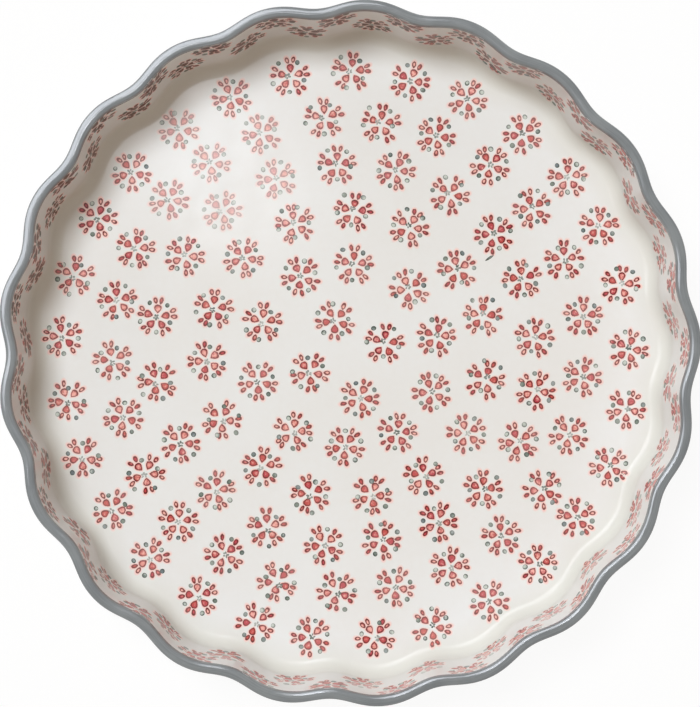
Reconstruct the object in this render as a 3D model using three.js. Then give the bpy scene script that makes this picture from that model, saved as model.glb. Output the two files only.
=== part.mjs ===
// A round, fluted quiche dish in glazed stoneware.
//
// The dish is fired as one piece, so nothing on it moves or comes off. It is built here in the order in
// which a pottery builds it: a pressed clay body with a bare foot ring, and then the glaze coats that are
// fired onto that body. Each coat is a solid of its own: the cream coat inside, the grey coat over the rim,
// the cream coat outside, and the cream coat in the recess under the floor.
//
// Millimetres, +Z up. The origin is the centre of the foot ring, on the surface that the dish stands on.
// A crest of the flutes points along +X.

import * as THREE from "three";

const { degToRad } = THREE.MathUtils;

// Driving dimensions: the finished dish, glaze included

const RIM_RADIUS = 140; // outer edge of the rim, midway between the crests and the hollows of the flutes
const HEIGHT = 42; // from the table to the top of the rim
const RIM_THICKNESS = 4.15; // across the top of the wall
const RIM_CREST_INSET = 2.25; // from the outer edge of the rim in to its highest line
const RIM_OUTER_CROWN = 7.5; // the top of the rim is gently crowned outside that line
const RIM_INNER_CROWN = 4; // and falls away faster inside it
const RIM_OUTER_EDGE = 0.6; // rounding between the crown and the wall, outside
const RIM_INNER_EDGE = 0.7; // and inside

const FLOOR_THICKNESS = 5.7; // between the recess under the dish and the floor inside
const INNER_DRAFT = degToRad(6); // how far the wall leans out, inside
const OUTER_DRAFT = degToRad(4); // and outside, so that the wall is thicker at its root
const INNER_FILLET = 6; // between the floor and the wall, inside
const HEEL_RADIUS = 7; // between the wall and the underside, outside

const FLUTE_COUNT = 21;
const FLUTE_DEPTH = 1.7; // from the mean radius out to a crest, and in to a hollow
const FLUTE_TIGHTNESS = 0.08; // share of a second wave, which broadens the crests and tightens the hollows

const FOOT_HEIGHT = 1.8; // how far the foot ring stands below the rest of the underside
const FOOT_WIDTH = 6;
const FOOT_INSET = 12; // from the end of the heel's curve in to the foot ring
const FOOT_EDGE = 0.8; // rounding of the foot ring's two edges

const GLAZE_THICKNESS = 0.4;
const GLAZE_SEAT = 0.05; // clearance between a coat and the clay under it
const GLAZE_SEAM = 0.1; // clearance between the ends of two coats, or of a coat and the foot ring
const BAND_INSIDE = 1.9; // how far the grey coat runs down the wall below the rim's edge, inside
const BAND_OUTSIDE = 4.5; // and outside

// Facets

const STEPS_PER_FLUTE = 6;
const CURVE_STEPS = 3; // along each fillet and along the heel
const RIM_STEPS = 1; // along each of the four arcs of the rim
const FOOT_STEPS = 1; // along each edge of the foot ring

// Derived places, each a radius or a height in the cross-section

const at = (r, z) => new THREE.Vector2(r, z);
const crestRadius = RIM_RADIUS - RIM_CREST_INSET;
const floorTop = FOOT_HEIGHT + FLOOR_THICKNESS;
const footEdge = Math.min(FOOT_EDGE, FOOT_HEIGHT / 2, FOOT_WIDTH / 3);

// Each side of the rim is a crown that is level at the crest, and an edge that carries the crown's curve on
// round into the wall. The edge's centre lies on the crown's own radius, at the angle where they meet.
function rimSide(width, crown, edge) {
  const meet = Math.asin((width - edge) / (crown - edge));
  const edgeCentre = at((crown - edge) * Math.sin(meet), HEIGHT - crown + (crown - edge) * Math.cos(meet));
  return { meet, edgeCentre };
}

const outerSide = rimSide(RIM_CREST_INSET, RIM_OUTER_CROWN, RIM_OUTER_EDGE);
const innerSide = rimSide(RIM_THICKNESS - RIM_CREST_INSET, RIM_INNER_CROWN, RIM_INNER_EDGE);
const outerEdgeCentre = at(crestRadius + outerSide.edgeCentre.x, outerSide.edgeCentre.y);
const innerEdgeCentre = at(crestRadius - innerSide.edgeCentre.x, innerSide.edgeCentre.y);

// The two faces of the wall are straight lines that leave the rim's edges at a tangent.
const innerTangent = at(-Math.cos(INNER_DRAFT), Math.sin(INNER_DRAFT))
  .multiplyScalar(RIM_INNER_EDGE).add(innerEdgeCentre);
const outerTangent = at(Math.cos(OUTER_DRAFT), -Math.sin(OUTER_DRAFT))
  .multiplyScalar(RIM_OUTER_EDGE).add(outerEdgeCentre);
const innerWall = (z) => innerTangent.x - (innerTangent.y - z) * Math.tan(INNER_DRAFT);
const outerWall = (z) => outerTangent.x - (outerTangent.y - z) * Math.tan(OUTER_DRAFT);

const bandInsideZ = innerTangent.y - BAND_INSIDE;
const bandOutsideZ = outerTangent.y - BAND_OUTSIDE;

// The fillet touches the floor at floorEdge, and the heel touches the underside at heelEdge.
const filletTop = floorTop + INNER_FILLET * (1 - Math.sin(INNER_DRAFT));
const floorEdge = innerWall(filletTop) - INNER_FILLET * Math.cos(INNER_DRAFT);
const heelTop = FOOT_HEIGHT + HEEL_RADIUS * (1 - Math.sin(OUTER_DRAFT));
const heelEdge = outerWall(heelTop) - HEEL_RADIUS * Math.cos(OUTER_DRAFT);
const footOuter = heelEdge - FOOT_INSET;
const footInner = footOuter - FOOT_WIDTH;

// The finished cross-section, walked from the middle of the floor up the wall, over the rim, down the
// outside and back to the axis below. The material is always on the right of the walk.

const line = (from, to) => new THREE.LineCurve(from, to);
const up = Math.PI / 2;
const down = -up;

function arc(centre, radius, from, to) {
  return new THREE.EllipseCurve(centre.x, centre.y, radius, radius, from, to, from > to);
}

const insideCurves = [
  line(at(0, floorTop), at(floorEdge, floorTop)),
  arc(at(floorEdge, floorTop + INNER_FILLET), INNER_FILLET, down, -INNER_DRAFT),
  line(at(innerWall(filletTop), filletTop), at(innerWall(bandInsideZ), bandInsideZ)),
];
const rimCurves = [
  line(at(innerWall(bandInsideZ), bandInsideZ), innerTangent),
  arc(innerEdgeCentre, RIM_INNER_EDGE, Math.PI - INNER_DRAFT, up + innerSide.meet),
  arc(at(crestRadius, HEIGHT - RIM_INNER_CROWN), RIM_INNER_CROWN, up + innerSide.meet, up),
  arc(at(crestRadius, HEIGHT - RIM_OUTER_CROWN), RIM_OUTER_CROWN, up, up - outerSide.meet),
  arc(outerEdgeCentre, RIM_OUTER_EDGE, up - outerSide.meet, -OUTER_DRAFT),
  line(outerTangent, at(outerWall(bandOutsideZ), bandOutsideZ)),
];
const outsideCurves = [
  line(at(outerWall(bandOutsideZ), bandOutsideZ), at(outerWall(heelTop), heelTop)),
  arc(at(heelEdge, FOOT_HEIGHT + HEEL_RADIUS), HEEL_RADIUS, -OUTER_DRAFT, down),
  line(at(heelEdge, FOOT_HEIGHT), at(footOuter, FOOT_HEIGHT)),
];
const footCurves = [
  line(at(footOuter, FOOT_HEIGHT), at(footOuter, footEdge)),
  arc(at(footOuter - footEdge, footEdge), footEdge, 0, down),
  line(at(footOuter - footEdge, 0), at(footInner + footEdge, 0)),
  arc(at(footInner + footEdge, footEdge), footEdge, down, -Math.PI),
  line(at(footInner, footEdge), at(footInner, FOOT_HEIGHT)),
];
const undersideCurves = [
  line(at(footInner, FOOT_HEIGHT), at(0, FOOT_HEIGHT)),
];

// Samples of one stretch of the cross-section: where it is, which way it runs, which way it faces, and
// whether the flutes reach it. A straight line needs only its two ends.
function sample(curves, curveSteps, isFluted) {
  const samples = [];
  for (const curve of curves) {
    const steps = curve.isLineCurve ? 1 : curveSteps;
    for (let i = samples.length ? 1 : 0; i <= steps; i++) {
      const point = curve.getPoint(i / steps);
      const along = curve.getTangent(i / steps);
      const facing = new THREE.Vector2(-along.y, along.x);
      samples.push({ point, along, facing, fluted: isFluted(point) });
    }
  }
  return samples;
}

// The flutes run over the whole wall. They end at the middle of the floor and at the foot ring.
const offAxis = (point) => point.x > 0;
const offFoot = (point) => point.x > footOuter;
const everywhere = () => true;
const nowhere = () => false;

const inside = sample(insideCurves, CURVE_STEPS, offAxis);
const rim = sample(rimCurves, RIM_STEPS, everywhere);
const outside = sample(outsideCurves, CURVE_STEPS, offFoot);
const foot = sample(footCurves, FOOT_STEPS, nowhere);
const underside = sample(undersideCurves, CURVE_STEPS, nowhere);

// A sample moved into the material, at a right angle to the surface.
const sink = (depth) => (s) => ({ ...s, point: s.point.clone().addScaledVector(s.facing, -depth) });

// A stretch with each end that isn't on the axis drawn back by half a seam.
function drawBack(stretch) {
  const last = stretch.length - 1;
  return stretch.map((s, i) => {
    const isEnd = offAxis(s.point) && (i === 0 || i === last);
    const back = isEnd ? (i === 0 ? 1 : -1) * GLAZE_SEAM / 2 : 0;
    return { ...s, point: s.point.clone().addScaledVector(s.along, back) };
  });
}

// The wave of the flutes round the dish: positive on a crest, negative in a hollow.
function fluteWave(angle) {
  const turn = FLUTE_COUNT * angle;
  return Math.cos(turn) - FLUTE_TIGHTNESS * Math.cos(2 * turn);
}

// Turns a closed cross-section about the axis, then presses the flutes into it.
function turn(profile) {
  const steps = FLUTE_COUNT * STEPS_PER_FLUTE;
  const points = profile.map((s) => s.point).reverse();
  const fluted = profile.map((s) => s.fluted).reverse();
  const geometry = new THREE.LatheGeometry(points, steps, Math.PI / 2);
  geometry.rotateX(Math.PI / 2);

  const position = geometry.getAttribute("position");
  for (let v = 0; v < position.count; v++) {
    if (!fluted[v % points.length]) continue;
    const angle = Math.atan2(position.getY(v), position.getX(v));
    const push = FLUTE_DEPTH * fluteWave(angle);
    position.setX(v, position.getX(v) + push * Math.cos(angle));
    position.setY(v, position.getY(v) + push * Math.sin(angle));
  }
  geometry.computeVertexNormals();
  return geometry;
}

// The clay stops short of each glazed stretch by the coat and its seat. The foot ring is bare.
function clayBody() {
  const underGlaze = sink(GLAZE_THICKNESS + GLAZE_SEAT);
  return turn([
    ...inside.map(underGlaze),
    ...rim.slice(1).map(underGlaze),
    ...outside.slice(1).map(underGlaze),
    ...foot.slice(1, -1),
    ...underside.map(underGlaze),
  ]);
}

// A coat goes along a stretch on the finished surface and comes back under it. Its cross-section starts and
// ends on the axis if it reaches the axis, and is closed on itself if it doesn't.
function glazeCoat(stretch) {
  const face = drawBack(stretch);
  const back = face.map(sink(GLAZE_THICKNESS)).reverse();
  const startsOnAxis = !offAxis(face[0].point);
  const endsOnAxis = !offAxis(back[0].point);
  if (startsOnAxis) return turn([...face, ...back]);
  if (endsOnAxis) return turn([...back, ...face]);
  return turn([...face, ...back, face[0]]);
}

// Finishes

const clay = new THREE.MeshStandardMaterial({ color: 0xcdbca3, roughness: 0.85, metalness: 0 });
const creamGlaze = new THREE.MeshStandardMaterial({ color: 0xeeebe4, roughness: 0.15, metalness: 0 });
const greyGlaze = new THREE.MeshStandardMaterial({ color: 0x86908f, roughness: 0.18, metalness: 0 });

function piece(name, geometry, material) {
  const mesh = new THREE.Mesh(geometry, material);
  mesh.name = name;
  return mesh;
}

const dish = new THREE.Group();
dish.name = "quiche_dish";
dish.add(
  piece("stoneware_body", clayBody(), clay),
  piece("inside_glaze", glazeCoat(inside), creamGlaze),
  piece("rim_glaze", glazeCoat(rim), greyGlaze),
  piece("outside_glaze", glazeCoat(outside), creamGlaze),
  piece("underside_glaze", glazeCoat(underside), creamGlaze),
);

export default dish;
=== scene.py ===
"""A round, fluted quiche dish in glazed stoneware, with stamped rosettes under the glaze and a grey rim.

The dish is turned from one cross-section and then fluted, as it is in the frame, with finer facets and with
the small unevenness of a pressed and hand-glazed dish. The rosettes are separate marks of underglaze colour,
laid on the floor in rings and on the wall in two staggered rows.
"""

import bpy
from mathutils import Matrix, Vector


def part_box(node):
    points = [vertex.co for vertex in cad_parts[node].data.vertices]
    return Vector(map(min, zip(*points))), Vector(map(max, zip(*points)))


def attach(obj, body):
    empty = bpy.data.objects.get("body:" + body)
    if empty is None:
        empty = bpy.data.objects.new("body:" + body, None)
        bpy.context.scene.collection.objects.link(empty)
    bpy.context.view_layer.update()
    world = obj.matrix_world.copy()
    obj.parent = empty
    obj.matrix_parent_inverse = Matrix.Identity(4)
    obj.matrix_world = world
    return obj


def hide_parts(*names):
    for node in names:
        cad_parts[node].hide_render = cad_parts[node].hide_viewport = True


bl_info = {
    "name": "Quiche Dish",
    "version": (1, 0, 0),
    "blender": (4, 5, 0),
    "location": "View3D > Sidebar > Quiche Dish",
    "description": "Builds a fluted stoneware quiche dish with a stamped pattern, and a studio to show it in",
    "category": "Add Mesh",
}

import math
import random
from collections import namedtuple

import bpy
from bpy.props import FloatProperty, FloatVectorProperty, IntProperty, IntVectorProperty, PointerProperty
from mathutils import Matrix, Vector

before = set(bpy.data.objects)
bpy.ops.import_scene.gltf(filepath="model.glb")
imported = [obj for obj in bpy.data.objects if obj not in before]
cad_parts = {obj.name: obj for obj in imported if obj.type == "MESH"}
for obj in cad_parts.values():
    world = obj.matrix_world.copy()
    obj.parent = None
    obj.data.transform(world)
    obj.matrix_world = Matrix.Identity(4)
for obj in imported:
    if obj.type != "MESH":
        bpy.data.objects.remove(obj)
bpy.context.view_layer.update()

MM = 0.001
BODY = "root"

# Sizes in metres. The first four are those that the frame was built to, and its boxes give the others.

GLAZE_THICKNESS = 0.4 * MM
GLAZE_SEAM = 0.1 * MM
FLUTE_DEPTH = 1.7 * MM
FLUTE_TIGHTNESS = 0.08
RIM_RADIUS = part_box("rim_glaze")[1].x - FLUTE_DEPTH * (1 - FLUTE_TIGHTNESS)
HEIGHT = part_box("rim_glaze")[1].z
FLOOR_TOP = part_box("inside_glaze")[0].z + GLAZE_THICKNESS
FOOT_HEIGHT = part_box("underside_glaze")[0].z
FOOT_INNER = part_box("underside_glaze")[1].x + GLAZE_SEAM / 2


def tint(hex_colour):
    """A colour written as on a screen, 0xRRGGBB, as the linear values that shaders take."""
    channels = ((hex_colour >> shift) & 0xFF for shift in (16, 8, 0))
    shares = [channel / 255 for channel in channels]
    return tuple(s / 12.92 if s <= 0.04045 else ((s + 0.055) / 1.055) ** 2.4 for s in shares)


def length_setting(name, description, default):
    return FloatProperty(name=name, description=description, default=default, precision=5, unit="LENGTH")


def lengths_setting(name, description, default):
    return FloatVectorProperty(
        name=name, description=description, default=default, size=len(default), precision=5, unit="LENGTH"
    )


def angle_setting(name, description, degrees):
    return FloatProperty(name=name, description=description, default=math.radians(degrees), subtype="ANGLE")


def angles_setting(name, description, degrees):
    default = [math.radians(a) for a in degrees]
    return FloatVectorProperty(
        name=name, description=description, default=default, size=len(default), unit="ROTATION"
    )


def share_setting(name, description, default):
    return FloatProperty(name=name, description=description, default=default, min=0, max=1, subtype="FACTOR")


def power_setting(name, description, watts):
    return FloatProperty(name=name, description=description, default=watts, min=0, subtype="POWER")


def count_setting(name, description, default):
    return IntProperty(name=name, description=description, default=default, min=1)


def colour_setting(name, description, hex_colour):
    return FloatVectorProperty(
        name=name, description=description, default=tint(hex_colour), size=3, min=0, max=1, subtype="COLOR"
    )


class DishForm(bpy.types.PropertyGroup):
    """The finished cross-section of the dish, its flutes and its unevenness."""

    rim_radius: length_setting("Rim radius", "Outer edge of the rim, midway up a flute", RIM_RADIUS)
    height: length_setting("Height", "From the table to the crown of the rim", HEIGHT)
    rim_thickness: length_setting("Rim thickness", "Width of the rim", 4.15 * MM)
    rim_crest_inset: length_setting("Rim crest", "From the rim's outer edge to its highest line", 2.25 * MM)
    rim_outer_crown: length_setting("Outer crown", "Radius of the rim's crown, outside its crest", 7.5 * MM)
    rim_inner_crown: length_setting("Inner crown", "Radius of the rim's crown, inside its crest", 4 * MM)
    rim_outer_edge: length_setting("Outer edge", "Rounding of the rim's outer edge", 0.6 * MM)
    rim_inner_edge: length_setting("Inner edge", "Rounding of the rim's inner edge", 0.7 * MM)
    floor_top: length_setting("Floor", "Height of the floor inside", FLOOR_TOP)
    inner_draft: angle_setting("Inner draft", "How far the wall leans out, inside", 6)
    outer_draft: angle_setting("Outer draft", "How far the wall leans out, outside", 4)
    inner_fillet: length_setting("Inner fillet", "Between the floor and the wall", 6 * MM)
    heel_radius: length_setting("Heel radius", "Between the wall and the underside", 7 * MM)
    foot_height: length_setting("Foot height", "How far the foot ring stands down", FOOT_HEIGHT)
    foot_inner: length_setting("Foot radius", "Inner radius of the foot ring", FOOT_INNER)
    foot_width: length_setting("Foot width", "Width of the foot ring", 6 * MM)
    foot_edge: length_setting("Foot edge", "Rounding of the foot ring's edges", 0.8 * MM)
    band_inside: length_setting("Band inside", "How far down the grey runs, inside", 1.9 * MM)
    band_outside: length_setting("Band outside", "How far down the grey runs, outside", 4.5 * MM)
    band_build: length_setting("Band build-up", "How far the grey glaze rolls up along its edges", 0.1 * MM)
    band_wander: length_setting("Band wander", "How far the brushed edge of the grey strays", 0.28 * MM)
    glaze: length_setting("Glaze", "Thickness of a coat of glaze", GLAZE_THICKNESS)
    flute_count: count_setting("Flutes", "Number of flutes", 21)
    flute_depth: length_setting("Flute depth", "From the mean radius to a crest or a hollow", FLUTE_DEPTH)
    flute_tightness: share_setting("Flute tightness", "How tight the hollows are", FLUTE_TIGHTNESS)
    flute_unevenness: share_setting("Flute unevenness", "How much the flutes vary in depth", 0.08)
    flute_deepest: angle_setting("Deepest flutes", "Side where the flutes are deepest", 199)
    flute_drift: angle_setting("Flute drift", "How far the flutes bunch up round the dish", 0.75)
    flute_drift_from: angle_setting("Drift side", "Side that the flutes are drawn round from", 339)
    ovality: length_setting("Ovality", "How far firing has drawn the rim out of round", 0.47 * MM)
    oval_side: angle_setting("Oval side", "Side to which the oval is longest", 82.3)
    trefoil: length_setting("Trefoil", "How far the rim swells to three sides", 0.18 * MM)
    trefoil_side: angle_setting("Trefoil side", "One of the sides to which it swells", 2.5)
    seed: IntProperty(name="Seed", description="Seed of the band's brushed edges", default=7)


class StampPattern(bpy.types.PropertyGroup):
    """The rosette, and how it is repeated by hand."""

    ring_count: IntVectorProperty(
        name="Per ring", description="Rosettes in each ring on the floor", size=6,
        default=(4, 10, 15, 20, 25, 29),
    )
    ring_radius: lengths_setting(
        "Ring radius", "Radius of each ring on the floor", [r * MM for r in (16.5, 38, 59, 79.5, 98.5, 118)]
    )
    ring_start: angles_setting(
        "Ring start", "Angle of the first rosette in each ring", (18, 13, 14.2, 5.8, 7.7, 1.0)
    )
    ring_drift: angles_setting(
        "Ring drift", "How far each ring's spacing bunches up", (7, 3, 2, 3.8, 1.3, 0.8)
    )
    ring_drift_from: angles_setting(
        "Ring drift side", "Side that each ring is drawn round from", (154, 199, 144, 254, 94, 149)
    )
    ring_sway: lengths_setting(
        "Ring sway", "How far each ring lies off the middle", [s * MM for s in (2.6, 1.0, 1.1, 0.7, 0.4, 0)]
    )
    ring_sway_side: angle_setting("Ring sway side", "Side to which the rings lie off the middle", 244)
    ring_twist: angles_setting(
        "Ring twist", "Mean turn of the rosettes in each ring", (0, -5, -2, -4, -1, -8)
    )
    stray_along: length_setting("Stray along", "How far a stamp strays along its ring", 0.7 * MM)
    stray_across: length_setting("Stray across", "How far a stamp strays across its ring", 0.6 * MM)
    stray_twist: angle_setting("Stray twist", "How far a stamp is turned by chance", 5)
    wall_count: count_setting("Per row", "Rosettes in each row on the wall", 31)
    upper_row: length_setting("Upper row", "From the fillet up to the upper rosettes", 21.75 * MM)
    upper_start: angle_setting("Upper start", "Angle of the first rosette of the upper row", -2.0)
    lower_row: length_setting("Lower row", "From the fillet up to the lower rosettes", 8.2 * MM)
    lower_start: angle_setting("Lower start", "Angle of the first rosette of the lower row", 3.5)
    wall_drift: angle_setting("Wall drift", "How far the spacing of both rows bunches up", 1.5)
    wall_drift_from: angle_setting("Wall drift side", "Side that the rows are drawn round from", 350)
    petal_reach: length_setting("Petal reach", "From a rosette's middle to a petal's", 3.6 * MM)
    petal_length: length_setting("Petal length", "Length of a petal", 3.4 * MM)
    petal_width: length_setting("Petal width", "Width of a petal", 2.95 * MM)
    bud_reach: length_setting("Bud reach", "From a rosette's middle to a bud's", 7.0 * MM)
    bud_length: length_setting("Bud length", "Length of a bud", 2.6 * MM)
    bud_width: length_setting("Bud width", "Width of a bud", 1.6 * MM)
    bud_spread: angle_setting("Bud spread", "From a petal's line to each of its two buds", 10.4)
    dot_reach: length_setting("Dot reach", "From the middle of the dots to a dot's", 6.6 * MM)
    dot_size: length_setting("Dot size", "Diameter of a dot", 2.0 * MM)
    dot_shift: lengths_setting("Dot shift", "How far off the second stamp lies", (0.4 * MM, 0.6 * MM))
    dot_stray: length_setting("Dot stray", "How far the second stamp strays by chance", 0.4 * MM)
    stroke_reach: length_setting("Stroke reach", "From a rosette's middle to a stroke of its heart", 0.8 * MM)
    stroke_length: length_setting("Stroke length", "Length of a stroke", 1.25 * MM)
    stroke_width: length_setting("Stroke width", "Width of a stroke", 0.75 * MM)
    dash_reach: length_setting("Dash reach", "From the floor's middle to a stray dash", 71.6 * MM)
    dash_bearing: angle_setting("Dash bearing", "Side of the floor that the stray dash is on", 33.1)
    dash_turn: angle_setting("Dash turn", "How far the stray dash is turned", 0.8)
    dash_length: length_setting("Dash length", "Length of the stray dash", 5.4 * MM)
    dash_width: length_setting("Dash width", "Width of the stray dash", 1.0 * MM)
    # Painted highlight: the floor's ink is painted paler round one place, where the lamps' reflection lies on
    # the glaze.
    glare_reach: length_setting("Worn reach", "From the floor's middle to its thinnest ink", 91 * MM)
    glare_bearing: angle_setting("Worn bearing", "Side of the floor where its ink is thinnest", 123.6)
    glare_size: length_setting("Worn size", "How far from there the ink is thin", 38 * MM)
    glare_share: share_setting("Worn share", "How much of the ink is missing where it is thinnest", 0.45)
    wall_reach: share_setting("Wall reach", "Size of a wall rosette, next to one on the floor", 0.92)
    wall_swell: share_setting("Wall swell", "How much broader the ink has run on the wall", 0.18)
    # Painted light on the wall: its shaded side gets darker, fuller ink as painted shade, and its lit side
    # paler ink as a painted highlight, paler still towards each rosette's top.
    wall_shade_ink: share_setting("Wall ink", "How much more ink the wall has on its strong side", 0.85)
    wall_lit_paling: share_setting("Wall wear", "How much of the wall's ink is missing on its weak side", 0.25)
    wall_lit_fade: share_setting("Wall fade", "How much more is missing at the top of a rosette there", 0.3)
    wall_shaded_side: angle_setting("Wall side", "Side where the wall's ink is strongest", 130)
    lift: length_setting("Lift", "How far a mark stands above the glaze", 0.03 * MM)
    seed: IntProperty(name="Seed", description="Seed of the hand's unevenness", default=21)


class GlazeFinish(bpy.types.PropertyGroup):
    """Colours of the clay, the glazes and the underglaze."""

    cream: colour_setting("Cream", "Cream glaze", 0xE8EAEA)
    cream_warm: colour_setting("Warm cream", "Cream glaze where it lies thicker", 0xE5E5E3)
    # Painted shade: a darker cream, laid into the hollow below the wall all round the dish.
    cream_hollow_shade: colour_setting("Pooled cream", "Cream glaze that has run together below the wall", 0xDBDBD5)
    grey: colour_setting("Grey", "Grey rim glaze", 0x7F8588)
    grey_dark: colour_setting("Dark grey", "Grey rim glaze where it lies thicker", 0x6C7276)
    clay: colour_setting("Clay", "Bare fired clay", 0xC9B596)
    clay_dark: colour_setting("Dark clay", "Bare fired clay, in its grain", 0xA88F6E)
    red_edge: colour_setting("Red edge", "Outline of the red marks", 0x641315)
    red_fill: colour_setting("Red fill", "Middle of the red marks", 0xB83F4C)
    red_other: colour_setting("Other red", "Middle of other red marks, fired warmer", 0xC04B46)
    red_pale: colour_setting("Red pale", "Middle of a thinly inked red mark", 0xF0B6AA)
    # Dark brown of the thickest ink, which is also painted shade on the red marks of the wall's shaded side.
    red_heavy_and_shaded: colour_setting("Red heavy", "Red marks where the ink lies thickest", 0x55332D)
    red_halo: colour_setting("Red halo", "What bleeds out of the red marks", 0xF8C0B6)
    green_edge: colour_setting("Green edge", "Outline of the grey-green marks", 0x424C44)
    green_fill: colour_setting("Green fill", "Middle of the grey-green marks", 0x707D72)
    green_other: colour_setting("Other green", "Middle of other grey-green marks, fired bluer", 0x717C80)
    green_pale: colour_setting("Green pale", "Middle of a thinly inked grey-green mark", 0xC3CBC3)
    # Dark grey of the thickest ink, which is also painted shade on the grey-green marks of the wall's shaded
    # side.
    green_heavy_and_shaded: colour_setting("Green heavy", "Grey-green marks where the ink lies thickest", 0x4C4842)
    green_halo: colour_setting("Green halo", "What bleeds out of the grey-green marks", 0xCDD2C9)


class Studio(bpy.types.PropertyGroup):
    """Camera, floor and lamps."""

    camera_place: lengths_setting(
        "Camera", "Where the camera stands", (-12 * MM, -15 * MM, HEIGHT + 850 * MM)
    )
    camera_aim: lengths_setting("Aim", "What the camera looks at", (0.09 * MM, -0.48 * MM, HEIGHT))
    camera_roll: angle_setting("Camera roll", "Turn of the dish in the picture", 1.16)
    lens: FloatProperty(name="Lens", description="Focal length in mm on a 36 mm sensor", default=108.17)
    lamp_colour: colour_setting("Lamp colour", "Colour of the key lamp and the low lamp", 0xF6FBFE)
    gloss_colour: colour_setting("Gloss colour", "Colour of the lamps that gloss shows", 0xF2F6FF)
    key_place: lengths_setting(
        "Key lamp", "Where the key lamp hangs, which gloss doesn't show", (-1.171, 1.219, 3.625)
    )
    key_size: length_setting("Key size", "Width of the key lamp", 1.6)
    key_power: power_setting("Key power", "Power of the key lamp", 119)
    window_place: lengths_setting(
        "Window", "Where the low lamp stands, which gloss doesn't show", (-1.694, 2.249, 1.026)
    )
    window_size: length_setting("Window size", "Width of the low lamp", 1.6)
    window_power: power_setting("Window power", "Power of the low lamp", 15.5)
    counter_place: lengths_setting(
        "Counter", "Where the weak lamp opposite stands, which gloss doesn't show", (0.37, -2.09, 2.12)
    )
    counter_size: length_setting("Counter size", "Width of the weak lamp opposite", 2.4)
    counter_power: power_setting("Counter power", "Power of the weak lamp opposite", 6.5)
    softbox_place: lengths_setting(
        "Softbox", "Where the softbox hangs, which only gloss shows", (-1.133, 1.18, 3.43)
    )
    softbox_size: lengths_setting("Softbox size", "Width and height of the softbox", (2.62, 1.75))
    softbox_power: power_setting("Softbox power", "Power of the softbox", 100)
    overhead_place: lengths_setting(
        "Overhead lamp", "Where the small overhead lamp hangs", (-0.109, 0.224, 1.5)
    )
    overhead_size: length_setting("Overhead size", "Width of the overhead lamp", 0.17)
    overhead_power: power_setting("Overhead power", "Power of the overhead lamp", 1.2)
    fill_colour: colour_setting("Fill colour", "Colour of the light all round and of the weak lamp", 0xFFE2C4)
    fill_strength: FloatProperty(name="Fill", description="Strength of the light all round", default=0.24)
    backdrop: colour_setting("Backdrop", "Floor under the dish", 0xF4F4F4)
    backdrop_white: share_setting("Backdrop white", "How much of the floor's shade is lifted to white", 0.93)


# The cross-section, one stretch at a time. A spot is a place on the finished surface: its radius and height,
# the way the surface faces there, how much of the flutes reaches it, and how far it follows the brushed edge
# of the grey band (1 at the edge inside, -1 at the edge outside).

Spot = namedtuple("Spot", "r z out_r out_z flute edge", defaults=(1.0, 0.0))


def heading(angle):
    return Vector((math.cos(angle), math.sin(angle)))


def arc(centre, radius, start, end, steps, hollow=False):
    side = -1 if hollow else 1
    ways = [heading(start + (end - start) * i / steps) for i in range(steps + 1)]
    return [Spot(centre.x + radius * w.x, centre.y + radius * w.y, side * w.x, side * w.y) for w in ways]


def line(start, end, steps):
    run = end - start
    out = Vector((-run.y, run.x)).normalized()
    places = [start + run * (i / steps) for i in range(steps + 1)]
    return [Spot(p.x, p.y, out.x, out.y) for p in places]


def join(*stretches):
    """Stretches end to end, without the spot that each shares with the one before."""
    return [*stretches[0], *(spot for stretch in stretches[1:] for spot in stretch[1:])]


def smooth(value):
    value = min(max(value, 0), 1)
    return value * value * (3 - 2 * value)


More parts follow.
